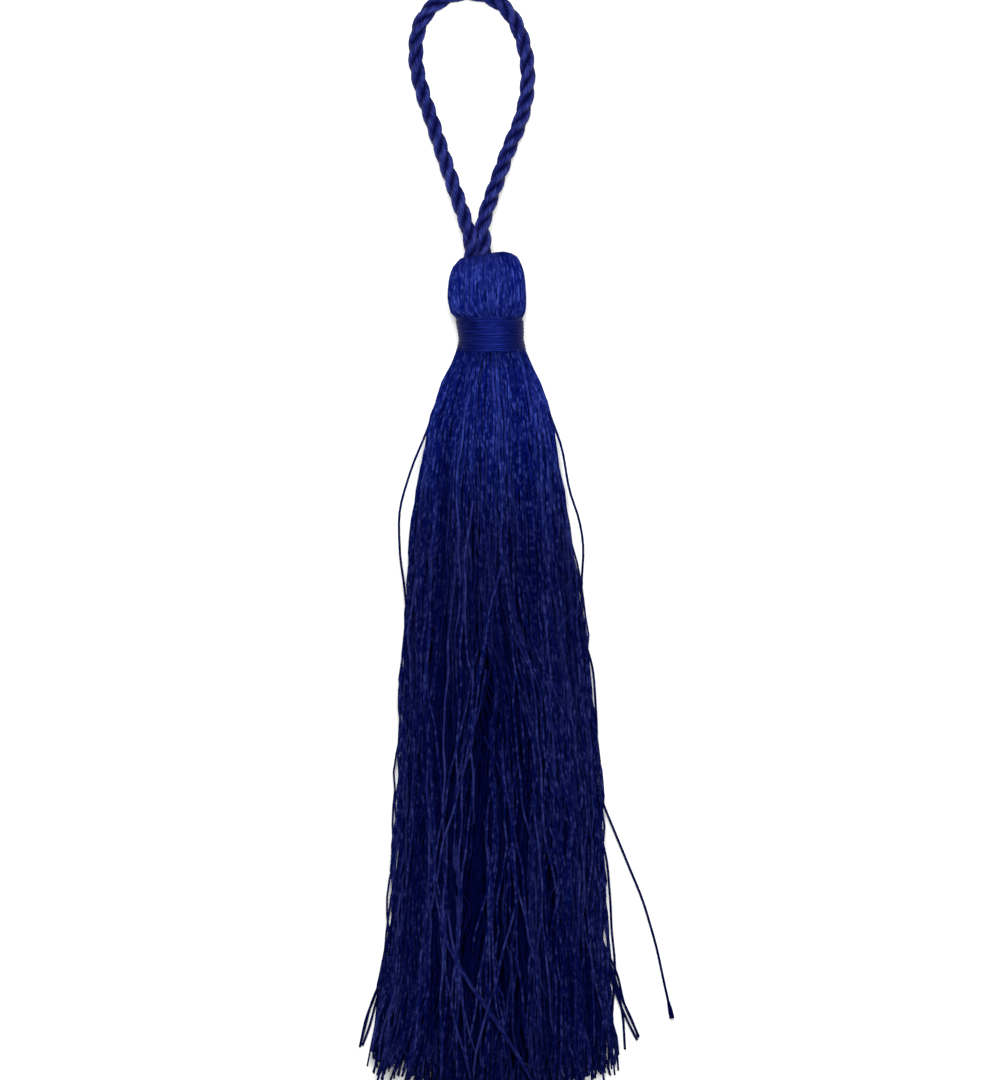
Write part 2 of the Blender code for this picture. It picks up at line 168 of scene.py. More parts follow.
def addNode(tree, kind, settings=None, inputs=()):
    # adds a node with its properties, and gives each input its value or its link
    node = tree.nodes.new(kind)
    for key, value in (settings or {}).items():
        setattr(node, key, value)
    for key, value in dict(inputs).items():
        if isinstance(value, bpy.types.NodeSocket):
            tree.links.new(value, node.inputs[key])
        else:
            node.inputs[key].default_value = value
    return node


def calculate(tree, operation, a, b=0.0, c=0.0):
    return addNode(tree, "ShaderNodeMath", {"operation": operation}, {0: a, 1: b, 2: c}).outputs[0]


fibre = {
    # a thread's tone, from 0 to 1, times these numbers is its place in the noise and the start of its twist
    "noisePlaces": 400.0,
    "twistStarts": 37.0,
    "noiseRoughness": 0.6,
    # the noise's values that count as none and all of a thread's crimp, and of the painted light on its turns
    "crimpRange": (0.38, 0.64),
    "turnedRange": (0.3, 0.7),
    "tonePower": 2.0,
    "dashPower": 1.5,
    "sparkPower": 8.0,
    # how far along a thread its colours start and end to change to the lower ones, which are darker as
    # painted shade
    "below": (5.0, 34.0),
    "ior": 1.4,
}


def threadFinish(name, look):
    # Twisted rayon floss. Its plies are rounded ridges that wind round the thread, so that the light breaks
    # on each turn. The thread is a little crimped, and its colour has painted highlights along the crimp:
    # uneven dashes of light and a few bright sparks. The grooves are painted a little darker, as painted
    # shade, and so are the threads that lie deep between others, where little light reaches.
    made = bpy.data.materials.new(name)
    made.use_nodes = True
    tree = made.node_tree
    tree.nodes.clear()
    uv = addNode(tree, "ShaderNodeUVMap", {"uv_map": "threadUv"})
    split = addNode(tree, "ShaderNodeSeparateXYZ", {}, {0: uv.outputs[0]})
    tone = addNode(tree, "ShaderNodeAttribute", {"attribute_name": "tone"}).outputs["Fac"]
    depth = addNode(tree, "ShaderNodeAttribute", {"attribute_name": "depth"}).outputs["Fac"]
    along, around = split.outputs[0], split.outputs[1]

    def unevenness(length, low, high):
        # noise along the thread from 0 to 1, other on each thread, with blobs about that length
        ownPlace = calculate(tree, "MULTIPLY", tone, fibre["noisePlaces"] * length)
        spot = addNode(tree, "ShaderNodeCombineXYZ", {}, {0: along, 1: ownPlace, 2: around})
        noise = addNode(
            tree,
            "ShaderNodeTexNoise",
            {"noise_dimensions": "3D"},
            {
                "Vector": spot.outputs[0],
                "Scale": 1 / length,
                "Detail": 1.0,
                "Roughness": fibre["noiseRoughness"],
            },
        )
        return addNode(tree, "ShaderNodeMapRange", {}, {0: noise.outputs[0], 1: low, 2: high}).outputs[0]

    crimp = unevenness(look["crimpLength"], *fibre["crimpRange"])
    turned = unevenness(look["turnLength"], *fibre["turnedRange"])
    turns = calculate(tree, "MULTIPLY_ADD", along, 1 / look["lay"], around)
    turns = calculate(tree, "MULTIPLY_ADD", tone, fibre["twistStarts"], turns)
    turns = calculate(tree, "MULTIPLY_ADD", crimp, look["unevenTwist"], turns)
    wound = calculate(tree, "MULTIPLY", turns, 2 * math.pi)
    ridge = calculate(tree, "ABSOLUTE", calculate(tree, "COSINE", wound))
    height = calculate(tree, "MULTIPLY_ADD", crimp, look["crimpHeight"], ridge)
    bump = addNode(
        tree, "ShaderNodeBump", {}, {"Strength": 1.0, "Distance": look["plyHeight"] * mm, "Height": height}
    )
    # painted light and shade: each thread's own tone times slow stretches of painted light, lighter ridges
    # and darker grooves as painted shade, and painted highlights, dashes and a few sparks along the crimp
    light = calculate(tree, "MULTIPLY", calculate(tree, "POWER", tone, fibre["tonePower"]), turned)
    light = calculate(tree, "MULTIPLY_ADD", light, look["threadToThread"], -look["darken"])
    light = calculate(tree, "MULTIPLY_ADD", ridge, look["ridgeToGroove"], light)
    dash = calculate(tree, "POWER", crimp, fibre["dashPower"])
    light = calculate(tree, "MULTIPLY_ADD", dash, look["dashToDash"], light)
    spark = calculate(tree, "POWER", crimp, fibre["sparkPower"])
    light = calculate(tree, "MULTIPLY_ADD", spark, look["spark"], light)
    # painted shade: further down a thread, in the skirt, both colours turn darker
    start, end = fibre["below"]
    smooth = {"interpolation_type": "SMOOTHSTEP"}
    below = addNode(tree, "ShaderNodeMapRange", smooth, {0: along, 1: start, 2: end})
    # painted shade: the deeper a point lies, the more of the deep colour it gets
    reached = calculate(tree, "EXPONENT", calculate(tree, "MULTIPLY", depth, -1 / look["lightReach"]))

    def mixed(share, a, b):
        return addNode(tree, "ShaderNodeMix", {"data_type": "RGBA"}, {0: share, 6: a, 7: b}).outputs[2]

    lightColour = mixed(below.outputs[0], linear(look["light"]), linear(look["lightBelow"]))
    darkColour = mixed(below.outputs[0], linear(look["dark"]), linear(look["darkBelow"]))
    colour = mixed(reached, linear(look["deep"]), mixed(light, darkColour, lightColour))
    skin = addNode(
        tree,
        "ShaderNodeBsdfPrincipled",
        {},
        {
            "Base Color": colour,
            "Normal": bump.outputs[0],
            "Roughness": look["roughness"],
            "IOR": fibre["ior"],
            "Specular IOR Level": look["gloss"],
            "Specular Tint": linear(look["glint"]),
        },
    )
    addNode(tree, "ShaderNodeOutputMaterial", {}, {0: skin.outputs[0]})
    return made


# In each look, the lengths are one full turn of the plies, how high they rise, and how long the uneven
# stretches of the crimp and of the painted light are. The twist is drawn at its real size.
# Rayon floss, loosely twisted: bright and clear blue at the head and neck, and deep navy in the skirt:
# painted shade for where the threads lie in each other's shade. Its painted dashes of light are small and
# uneven.
floss = threadFinish(
    "rayonFloss",
    {
        "light": "#2d3c8e",
        "dark": "#030d57",
        "lightBelow": "#22275b",
        "darkBelow": "#010636",
        "deep": "#010329",
        "lightReach": 1.2,
        "glint": "#7f8cff",
        "lay": 2.3,
        "unevenTwist": 0.5,
        "plyHeight": 0.06,
        "crimpLength": 1.1,
        "crimpHeight": 0.6,
        "turnLength": 9.0,
        "threadToThread": 1.0,
        "ridgeToGroove": 0.1,
        "dashToDash": 0.5,
        "spark": 0.3,
        "darken": 0.11,
        "roughness": 0.5,
        "gloss": 0.01,
    },
)
# the same floss wound tight: its twist hardly shows, and it shines a little along the turns, with a little
# gloss and with painted dashes of light
wrap = threadFinish(
    "woundRayon",
    {
        "light": "#192772",
        "dark": "#070f4e",
        "lightBelow": "#192772",
        "darkBelow": "#070f4e",
        "deep": "#010225",
        "lightReach": 1.2,
        "glint": "#7f8cff",
        "lay": 2.6,
        "unevenTwist": 0.5,
        "plyHeight": 0.03,
        "crimpLength": 2.5,
        "crimpHeight": 0.4,
        "turnLength": 9.0,
        "threadToThread": 0.3,
        "ridgeToGroove": 0.1,
        "dashToDash": 0.6,
        "spark": 0.0,
        "darken": 0.0,
        "roughness": 0.46,
        "gloss": 0.04,
    },
)
# rayon yarn plied to a cord: smooth and a little glossy on top of the plies, partly with painted dashes of
# light, and painted dark in the grooves, as painted shade
cordYarn = threadFinish(
    "twistedRayonCord",
    {
        "light": "#343c82",
        "dark": "#0a114b",
        "lightBelow": "#343c82",
        "darkBelow": "#0a114b",
        "deep": "#010229",
        "lightReach": 0.16,
        "glint": "#8a90ff",
        "lay": 2.4,
        "unevenTwist": 0.5,
        "plyHeight": 0.04,
        "crimpLength": 1.8,
        "crimpHeight": 0.4,
        "turnLength": 9.0,
        "threadToThread": 0.4,
        "ridgeToGroove": 0.1,
        "dashToDash": 0.6,
        "spark": 0.0,
        "darken": 0.0,
        "roughness": 0.5,
        "gloss": 0.15,
    },
)


# the camera and the light

shot = {
    "across": 0.31,
    "along": -39.57,
    "distance": 900.0,
    "focusUp": 5.0,
    "pixelsHigh": 1080,
    "mmPerPixel": 0.15476,
    "sensor": 36.0,
}
lens = bpy.data.cameras.new("camera")
lens.sensor_width = shot["sensor"]
lens.lens = lens.sensor_width * shot["distance"] / (shot["pixelsHigh"] * shot["mmPerPixel"])
camera = bpy.data.objects.new("camera", lens)
camera.location = (shot["across"] * mm, shot["along"] * mm, (shot["focusUp"] + shot["distance"]) * mm)
bpy.context.scene.collection.objects.link(camera)
bpy.context.scene.camera = camera

lamps = {
    # a small softbox near the head, and a wide one far away that lights everything alike
    "key": {"kind": "AREA", "at": (-12, 70, 330), "aim": (0, 10, 0), "energy": 1.25, "size": 110.0},
    "fill": {"kind": "SUN", "at": (72, -120, 500), "aim": (0, -60, 0), "energy": 1.35, "degrees": 45.0},
}
for name, lamp in lamps.items():
    softbox = bpy.data.lights.new(name, lamp["kind"])
    softbox.energy = lamp["energy"]
    if lamp["kind"] == "AREA":
        softbox.size = lamp["size"] * mm
    else:
        softbox.angle = math.radians(lamp["degrees"])
    at, aim = Vector(lamp["at"]) * mm, Vector(lamp["aim"]) * mm
    stand = bpy.data.objects.new(name, softbox)
    stand.location = at
    stand.rotation_euler = (aim - at).to_track_quat("-Z", "Y").to_euler()
    bpy.context.scene.collection.objects.link(stand)

room = {"sky": "#ffffff", "strength": 0.4, "paper": "#f7f7f7", "roughness": 0.9, "floorWidth": 6000.0}
sky = bpy.data.worlds.new("paleRoom")
sky.use_nodes = True
sky.node_tree.nodes["Background"].inputs["Color"].default_value = linear(room["sky"])
sky.node_tree.nodes["Background"].inputs["Strength"].default_value = room["strength"]
bpy.context.scene.world = sky
bpy.context.scene.view_settings.view_transform = "Standard"

# white paper: matt, and nearly as light as the room
paper = bpy.data.materials.new("whitePaper")
paper.use_nodes = True
paper.node_tree.nodes["Principled BSDF"].inputs["Base Color"].default_value = linear(room["paper"])
paper.node_tree.nodes["Principled BSDF"].inputs["Roughness"].default_value = room["roughness"]
side = room["floorWidth"] / 2 * mm
floorMesh = bpy.data.meshes.new("floor")
floorMesh.from_pydata(
    [(-side, -side, 0), (side, -side, 0), (side, side, 0), (-side, side, 0)], [], [(0, 1, 2, 3)]
)
floorMesh.materials.append(paper)
floor = bpy.data.objects.new("floor", floorMesh)
bpy.context.scene.collection.objects.link(floor)
print("the camera, the light and the floor are set")


# the hanging loop

cord = {
    "diameter": 2.34,
    "plyRadius": 0.55,
    "plyReach": 0.59,  # from the cord's centre line to a ply's
    "lay": 9.0,
    "yarnsInPly": 7,
    "yarnRadius": 0.22,
    "yarnLay": 6.0,
    "curveSteps": 12,
    "step": 0.33,
    "legsCentre": -1.93,
    "legSpacing": 2.0,
    "legStraight": 1.4,
    "exitUp": 5.9,
    "exitDown": 2.9,
    "descent": 27.0,
    "floorGap": 0.03,
    # across and above the crown, from the left leg round to the right one
    "route": (
        (-3.46, 3.70), (-4.43, 6.70), (-5.98, 11.30), (-7.53, 16.00), (-9.02, 20.65), (-10.55, 25.30),
        (-11.50, 30.00), (-11.12, 34.70), (-9.33, 37.90), (-6.40, 39.90), (-3.30, 40.45), (-0.20, 39.80),
        (2.63, 37.80), (4.55, 34.50), (5.70, 30.00), (5.75, 25.30), (4.75, 20.65), (2.87, 16.00),
        (1.20, 11.30), (-0.42, 6.70), (-1.20, 3.70),
    ),
}


def loopLine():
    # the cord's centre line: out of the crown, down to the surface on an S-curve, round, and back as it came
    half = cord["legSpacing"] / 2
    left, right = cord["legsCentre"] - half, cord["legsCentre"] + half
    outward = ((left, -cord["exitDown"]), (left, cord["legStraight"]))
    inward = ((right, cord["legStraight"]), (right, -cord["exitDown"]))
    flat = throughPoints((*outward, *cord["route"], *inward), cord["curveSteps"])
    lying = cord["diameter"] / 2 + cord["floorGap"]
    up = blend(cord["exitUp"], lying, smoothStep(0, cord["descent"], flat[:, 1]))
    line = place(flat[:, 0], -flat[:, 1], up) / mm
    return evenly(line, round(lengthAlong(line[None] * mm)[0, -1] / cord["step"]) + 1) * mm


def wind(line, reach, turn):
    # a path that winds round a line: line + reach (cos turn · side + sin turn · top)
    forward = unit(np.gradient(line, axis=0))
    side = unit(np.cross(forward, upwards))
    top = np.cross(side, forward)
    return line + reach * mm * (np.cos(turn)[:, None] * side + np.sin(turn)[:, None] * top)


line = loopLine()
along = lengthAlong(line[None])[0]
yarnReach = cord["plyRadius"] - cord["yarnRadius"] / 2
yarns = []
for ply in range(3):
    plyLine = wind(line, cord["plyReach"], 2 * np.pi * (ply / 3 - along / cord["lay"]))
    for yarn in range(cord["yarnsInPly"]):
        yarnTurn = 2 * np.pi * (yarn / cord["yarnsInPly"] + along / cord["yarnLay"])
        yarns.append(wind(plyLine, yarnReach, yarnTurn))
yarns = np.array(yarns)
# painted shade: yarns that lie deeper in the cord, nearer its centre line, are painted darker
depth = cord["plyReach"] + yarnReach - np.linalg.norm(yarns - line, axis=-1) / mm
yarns[..., 2] = np.maximum(yarns[..., 2], cord["yarnRadius"] * mm)
cordTubes = tube(
    yarns, cord["yarnRadius"], sides=5, aside=upwards, tone=dice.random(len(yarns)), depth=depth
)
loopCord = newPiece("loop_cord", [cordTubes], cordYarn, ("hanging_loop",))


# the head: thread folded over the cord, from the crown down to the binding

head = {
    "axisUp": 5.35,
    "flattening": 0.97,
    "mouthFlattening": 0.84,  # the crown closes round the cord's two legs, which lie side by side
    "mouth": (0.09, 0.2),  # the share of the way down where the crown's mouth widens to the head
    "threads": 230,
    "threadRadius": 0.21,
    "floorGap": 0.02,
    "points": 18,
    "jitter": 0.8,  # how far a thread may lie from its even place, in steps from one to the next
    "wander": ((9.0, 0.022), (5.0, 0.03)),  # rates and sizes of the waves round the head
    "standOff": (-0.28, 0.12),
    "ripple": (14.0, 0.06),  # rate and size of the waves outwards
    "surface": 0.2,  # threads that stand off less than this get painted shade
    # the cord and the fold take light from the crown, and the binding from the head's foot: how deep in
    # painted shade they are, between which shares of the way down
    "crownDepth": 0.9,
    "crownShade": (0.05, 0.5),
    "footDepth": 0.85,
    "footShade": (0.8, 1.0),
    "tones": (0.28, 0.78),
    # down on the left, down on the right, centre across, half width
    "rings": (
        (2.70, 2.70, -1.86, 1.80), (1.50, 0.90, -1.64, 2.40), (1.15, 0.10, -1.00, 3.60),
        (1.70, 0.62, -0.57, 4.50), (2.48, 1.55, -0.59, 5.14), (3.60, 2.90, -0.49, 5.63),
        (4.90, 4.60, -0.49, 5.93), (6.90, 6.90, -0.49, 6.01), (8.40, 8.40, -0.43, 5.87),
        (9.30, 9.30, -0.34, 5.66), (9.95, 9.95, -0.15, 5.20), (10.6, 10.6, 0.0, 4.80),
    ),
}


def headPoint(angle, share, out):
    # a point of the head at an angle round its axis: the ring at that share of the way down gives the centre
    # and half width r, and the point is centre + (r + out)(cos angle, sin angle)
    rings = np.array(head["rings"])
    at = np.asarray(share) * (len(rings) - 1)
    left, right, centre, half = (np.interp(at, np.arange(len(rings)), rings[:, k]) for k in range(4))
    half = half + out
    down = blend(left, right, (np.cos(angle) + 1) / 2)
    flattening = head["flattening"] * blend(head["mouthFlattening"], 1, smoothStep(*head["mouth"], share))
    up = head["axisUp"] + half * flattening * np.sin(angle)
    up = np.maximum(up, head["threadRadius"] + head["floorGap"])
    return place(centre + half * np.cos(angle), down, up)


count = head["threads"]
jitter = dice.uniform(-head["jitter"], head["jitter"], count)
angle = 2 * np.pi * (np.arange(count) + jitter)[:, None] / count
share = np.linspace(0, 1, head["points"])[None]
phases = dice.uniform(0, 2 * np.pi, (3, count, 1))
wander = sum(size * np.sin(rate * share + phase) for (rate, size), phase in zip(head["wander"], phases))
rate, size = head["ripple"]
out = dice.uniform(*head["standOff"], (count, 1)) + size * np.sin(rate * share + phases[2])
headPaths = headPoint(angle + wander, share, out - head["threadRadius"])
roundHead = np.concatenate([-np.sin(angle), 0 * angle, np.cos(angle)], axis=-1)[:, None]
# painted shade: under the surface, at the crown and at the head's foot
depth = np.maximum(head["surface"] - out, 0)
depth = depth + head["crownDepth"] * (1 - smoothStep(*head["crownShade"], share))
depth = depth + head["footDepth"] * smoothStep(*head["footShade"], share)
tone = blend(*head["tones"], dice.random(count))
headTubes = tube(headPaths, head["threadRadius"], sides=5, aside=roundHead, tone=tone, depth=depth)
newPiece("head_threads", [headTubes], floss)


# the binding: one thread wound close round the neck

binding = {
    "top": 10.15,
    "bottom": 15.75,
    "up": 5.3,
    "thread": 0.24,
    "pitch": 0.82,  # from one turn to the next, in threads
    "swell": 1.08,  # the turns press on each other a little
    "pointsInTurn": 48,
    # rates, sizes and starts of the turns' waves outwards, and the rate and size of their slants
    "waves": ((0.37, 0.04, 1.0), (1.93, 0.02, 0.0)),
    "slant": (0.61, 0.05),
    "tone": 0.5,
    # the sides lie lower between the head and the skirt's shoulders, and get less light: how deep in painted
    # shade they are, between which distances from the bright middle, and where that is, all in radii
    "sideDepth": 0.9,
    "sideShade": (0.15, 0.65),
    "brightMiddle": 0.06,
    # share of the way down, radius, centre across
    "profile": (
        (0.0, 5.10, -0.12), (0.1, 5.30, -0.05), (0.35, 5.14, 0.10), (0.6, 5.06, 0.18),
        (0.8, 5.26, 0.22), (0.95, 5.36, 0.24), (1.0, 5.20, 0.24),
    ),
}
turns = int((binding["bottom"] - binding["top"]) / (binding["thread"] * binding["pitch"]))
share = np.linspace(0, 1, turns * binding["pointsInTurn"])
turn = 2 * np.pi * turns * share
radius = readTable(binding["profile"], 1, share) - binding["thread"] / 2
for rate, size, start in binding["waves"]:
    radius = radius + size * np.sin(rate * turn + start)
down = blend(binding["top"] + binding["thread"] / 2, binding["bottom"] - binding["thread"] / 2, share)
rate, size = binding["slant"]
down = down + size * np.sin(rate * turn) * np.sin(turn)
windings = place(
    readTable(binding["profile"], 2, share) + radius * np.cos(turn),
    down,
    binding["up"] + head["flattening"] * radius * np.sin(turn),
)[None]
# painted shade on the binding's sides, away from the bright middle
aside = np.abs(np.cos(turn) - binding["brightMiddle"])
bindingTubes = tube(
    windings,
    binding["thread"] / 2 * binding["swell"],
    sides=6,
    aside=(0, 1, 0),
    tone=np.array([binding["tone"]]),
    depth=binding["sideDepth"] * smoothStep(*binding["sideShade"], aside),
)
newPiece("neck_windings", [bindingTubes], wrap, ("neck_binding",))


# the skirt

skirt = {
    "columns": 48,
    "layers": 20,
    "threadRadius": 0.225,
    "radiusSpread": (0.88, 1.12),
    "neckRadius": 0.8,  # at the neck a thread has this share of its radius, and grows to all of it from there
    "neckGrowth": (16.0, 50.0),
    "floorGap": 0.03,
    "start": 14.6,
    "cell": (0.05, 0.95),  # where in its own cell of the neck's section a thread may start
    "limits": (-1.03, 1.03, 1.04),  # how far to the sides and up a thread may come out of the section
    # the threads above this height or beyond this side are outer ones, and those above that one are on top
    "outerHeight": 0.1,
    "outerSide": 0.7,
    "topHeight": 0.5,
    "free": (18.0, 95.0),  # between which distances down the threads come free of each other
    # the locks. A step up counts for less than one across when a thread is dealt to the nearest one
    "locks": 110,
    "stepUp": 0.6,
    "drawTogether": 0.5,
    "drawUnder": 0.4,  # the lowest threads do this share of that, and the ones above them more
    "drawHeights": (-0.7, 0.3),
    "tipsTogether": 0.45,
    "tips": (108.0, 128.0),  # between which distances down the tips draw together as well
    "turnRound": 1.2,  # how far a lock winds round its middle, in radians
    "turnAcross": 0.6,  # and how much of a step up that makes a step across
    "lockLean": 0.05,
    # lengths over 2π and sizes of the waves of a lock and of a thread in it
    "lockSway": (17.0, 0.03),
    "lockRise": (23.0, 0.11),
    "lockSink": 0.06,
    "ownLean": 0.06,
    "ownRise": (11.0, 0.06),
    "crossShare": 0.1,  # this share of the threads leans so much more
    "crossLean": 3.5,
    # the threads right of the middle fan out to the right over the others
    "fan": {"shift": 0.36, "middle": 0.3, "width": 0.34, "down": (44.0, 78.0), "up": (0.2, 0.8)},
    # lengths and sizes of each thread's own waves, and how large they are at the neck
    "wavesAcross": ((6.5, 12.0, 27.0), (0.10, 0.20, 0.50)),
    "wavesUp": ((7.5, 14.0, 30.0), (0.07, 0.14, 0.20)),
    "wavesAtNeck": 0.6,
    # the threads' tone, the painted shade, and how far threads sink in the valleys
    "lockTone": 0.68,  # the share of a thread's lightness that it has in common with its lock
    "toneSpread": 1.3,
    "depthSpread": (0.8, 1.5),
    "neckDepth": 0.7,
    "neckShade": (15.5, 19.5),
    "endReach": 0.45,  # painted shade eases near the cut ends, since light also comes in between them: the depth of each millimetre above them
    "valleySink": 0.5,
    "top": (0.35, 0.75),  # the share of the height at which a thread starts and ends to count as on top
    # the cut ends: how unevenly they are cut, how many are short and by how much, and how unevenly locks are
    "cutSpread": 0.8,
    "cutLimits": (-3.0, 1.3),
    "shortShare": 0.16,
    "shortBy": (1.5, 7.0),
    "lockCutSpread": 1.5,
    "lockCutLimits": (-3.2, 1.2),
    # share of the half width, down to the cut ends
    "hem": (
        (-1.0, 121.8), (-0.95, 123.2), (-0.87, 125.0), (-0.7, 126.6), (-0.55, 127.4), (-0.45, 128.4),
        (-0.35, 129.4), (0.0, 129.8), (0.35, 129.4), (0.45, 128.4), (0.55, 127.6), (0.87, 126.4),
        (0.95, 125.0), (1.0, 123.2),
    ),
    # down, left edge, right edge, clear height under it, height, slump from a disc (0) to a dome (1)
    "sections": (
        (10.0, -4.00, 4.20, 0.80, 8.6, 0.0), (14.6, -4.40, 4.60, 0.80, 9.0, 0.0),
        (15.8, -4.85, 5.20, 0.50, 9.8, 0.0), (16.6, -5.45, 6.00, 0.20, 10.3, 0.0),
        (18.3, -6.40, 6.75, 0.10, 10.8, 0.05), (21.4, -7.70, 8.15, 0.00, 11.1, 0.15),
        (27.5, -9.85, 10.0, 0.00, 11.3, 0.35), (36.8, -11.5, 11.6, 0.00, 11.3, 0.65),
        (46.0, -12.7, 12.9, 0.00, 11.1, 0.85), (58.5, -13.6, 14.5, 0.00, 10.7, 1.0),
        (66.0, -13.8, 15.0, 0.00, 10.5, 1.0), (72.0, -13.9, 15.5, 0.00, 10.3, 1.0),
        (80.0, -14.1, 16.3, 0.00, 10.1, 1.0), (86.0, -14.3, 16.8, 0.00, 9.9, 1.0),
        (98.7, -15.1, 17.2, 0.00, 9.5, 1.0), (108.0, -15.6, 17.4, 0.00, 9.1, 1.0),
        (114.0, -16.3, 18.0, 0.00, 8.9, 1.0), (120.0, -17.7, 18.9, 0.00, 8.6, 1.0),
        (134.0, -20.6, 20.7, 0.00, 8.0, 1.0),
    ),
    "sectionSmoothing": (-2.0, -1.0, 0.0, 1.0, 2.0),
    # the disc's side spans this angle up and down from the middle, in degrees, and the dome's corner is at
    # this one and this round
    "discCorner": 25.0,
    "domeCorner": 45.0,
    "domeRoundness": 0.88,
    # across, down, half the width and half the length of the gaps where the top threads part
    "partings": (
        (-3.9, 103.7, 1.0, 5.5), (-0.4, 68.0, 0.7, 6.0), (-9.0, 57.0, 0.5, 9.0), (1.5, 112.0, 0.7, 7.0),
        (9.5, 98.0, 0.6, 6.0), (-10.5, 90.0, 0.5, 8.0),
    ),
    # how far to the sides a parting reaches, and over how much of that it opens, in half widths
    "partingReach": 3.5,
    "partingEdge": 0.4,
    # across, down, half width, half length and depth of the valleys between the locks on top
    "valleys": (
        (-7.0, 62.0, 1.6, 14.0, 0.9), (1.2, 66.0, 1.0, 7.0, 0.8), (-0.6, 76.0, 2.2, 10.0, 0.85),
        (7.0, 54.0, 0.7, 6.0, 0.5), (-12.4, 78.0, 1.3, 12.0, 0.8), (-6.0, 82.0, 1.4, 10.0, 0.9),
        (8.6, 70.0, 1.0, 10.0, 0.15), (-6.9, 37.0, 0.9, 10.0, 1.1), (2.6, 106.0, 1.8, 9.0, 0.6),
        (-3.6, 102.0, 1.3, 9.0, 1.2), (9.0, 92.0, 1.2, 12.0, 0.4), (12.0, 112.0, 1.3, 9.0, 0.7),
        (-1.6, 48.0, 1.0, 10.0, 0.5), (-12.6, 92.0, 2.4, 30.0, 1.1), (-9.4, 102.0, 2.4, 11.0, 0.35),
        (-3.4, 68.0, 1.2, 9.0, 0.5), (-4.2, 21.0, 3.0, 6.0, 0.3), (-6.2, 76.0, 1.3, 7.0, 0.9),
        (-6.2, 93.0, 1.3, 5.0, 1.0), (3.0, 108.0, 3.0, 7.0, 0.2),
    ),
}


def skirtSection(down):
    # the section's left, right, clear height, height and slump, each smoothed over 4 mm
    return (
        sum(readTable(skirt["sections"], column, down + shift) for shift in skirt["sectionSmoothing"])
        / len(skirt["sectionSmoothing"])
        for column in range(1, 6)
    )


def skirtPlace(g, h, down):
    # a place in the skirt's section, across and up, for g and h that run from -1 to 1 across and up. The
    # section is a disc at the neck, (g √(1 - sin²c h²), h √(1 - cos²c g²)), and slumps to a dome
    left, right, clear, height, slump = skirtSection(down)
    corner, domeCorner = math.radians(skirt["discCorner"]), math.radians(skirt["domeCorner"])
    roundness = skirt["domeRoundness"]
    discX = g * np.sqrt(np.maximum(0, 1 - (np.sin(corner) * h) ** 2))
    discZ = (h * np.sqrt(np.maximum(0, 1 - (np.cos(corner) * g) ** 2)) + 1) / 2
    rise = (h + 1) / 2
    domeX = g * np.sqrt(np.maximum(0, 1 - roundness * (np.sin(domeCorner) * rise) ** 2))
    domeZ = rise * np.sqrt(np.maximum(0, 1 - roundness * (np.cos(domeCorner) * g) ** 2))
    across = (left + right) / 2 + (right - left) / 2 * blend(discX, domeX, slump)
    return across, clear + height * blend(discZ, domeZ, slump)


def onTopShare(up, down):
    _, _, _, height, _ = skirtSection(down)
    return smoothStep(*skirt["top"], up / height)


def partThreads(across, up, down):
    # the top threads are pushed to both sides of each parting: width · tanh(distance) fading as a bell curve
    # across and down
    high = onTopShare(up, down)
    for middle, at, width, reach in skirt["partings"]:
        off = across - middle
        bell = np.exp(-((off / (skirt["partingReach"] * width)) ** 2) - ((down - at) / reach) ** 2)
        across = across + high * width * np.tanh(off / (skirt["partingEdge"] * width)) * bell
    return across


def valleyDepth(across, up, down):
    # how far the top threads sink at a place: the sum of the valleys, each a bell across and down
    sunk = sum(
        deep * np.exp(-(((across - middle) / width) ** 2) - ((down - at) / reach) ** 2)
        for middle, at, width, reach, deep in skirt["valleys"]
    )
    return sunk * onTopShare(up, down)


def wave(down, lengths, sizes, phases):
    # a sum of sines along the thread, each with its own length, size and start
    rows = zip(lengths, sizes, phases)
    return sum(size * np.sin(2 * np.pi * down / length + phase) for length, size, phase in rows)


columns, layers = skirt["columns"], skirt["layers"]
count = columns * layers
column, layer = (number[:, None] for number in divmod(np.arange(count), layers))
g0 = 2 * (column + dice.uniform(*skirt["cell"], (count, 1))) / columns - 1
h0 = 2 * (layer + dice.uniform(*skirt["cell"], (count, 1))) / layers - 1
cutUneven = dice.normal(0, skirt["cutSpread"], (count, 1))
cut = readTable(skirt["hem"], 1, g0) + np.clip(cutUneven, *skirt["cutLimits"])
isShort = dice.random((count, 1)) < skirt["shortShare"]
cut -= np.where(isShort, dice.uniform(*skirt["shortBy"], (count, 1)), 0.0)
lockG, lockH = dice.uniform(-1, 1, skirt["locks"]), dice.uniform(-1, 1, skirt["locks"])
nearest = np.argmin((g0 - lockG) ** 2 + (skirt["stepUp"] * (h0 - lockH)) ** 2, axis=1)
lockPhases = dice.uniform(0, 2 * np.pi, (4, skirt["locks"]))[:, nearest, None]
lockLean, lockSink, lockCut = dice.normal(0, 1, (3, skirt["locks"]))[:, nearest, None]
cut += np.clip(skirt["lockCutSpread"] * lockCut, *skirt["lockCutLimits"])
ownPhases = dice.uniform(0, 2 * np.pi, (8, count, 1))
ownLean = dice.normal(0, 1, (count, 1))
crosses = dice.random((count, 1)) < skirt["crossShare"]
ownLean = np.where(crosses, skirt["crossLean"] * ownLean, ownLean)
outer = (h0[:, 0] > skirt["outerHeight"]) | (np.abs(g0[:, 0]) > skirt["outerSide"])
onTop = outer & (h0[:, 0] > skirt["topHeight"])
threadSize = skirt["threadRadius"] * dice.uniform(*skirt["radiusSpread"], (count, 1))
tone = blend(dice.random(count), lockPhases[3][:, 0] / (2 * np.pi), skirt["lockTone"])
tone = np.clip(0.5 + skirt["toneSpread"] * (tone - 0.5), 0, 1)


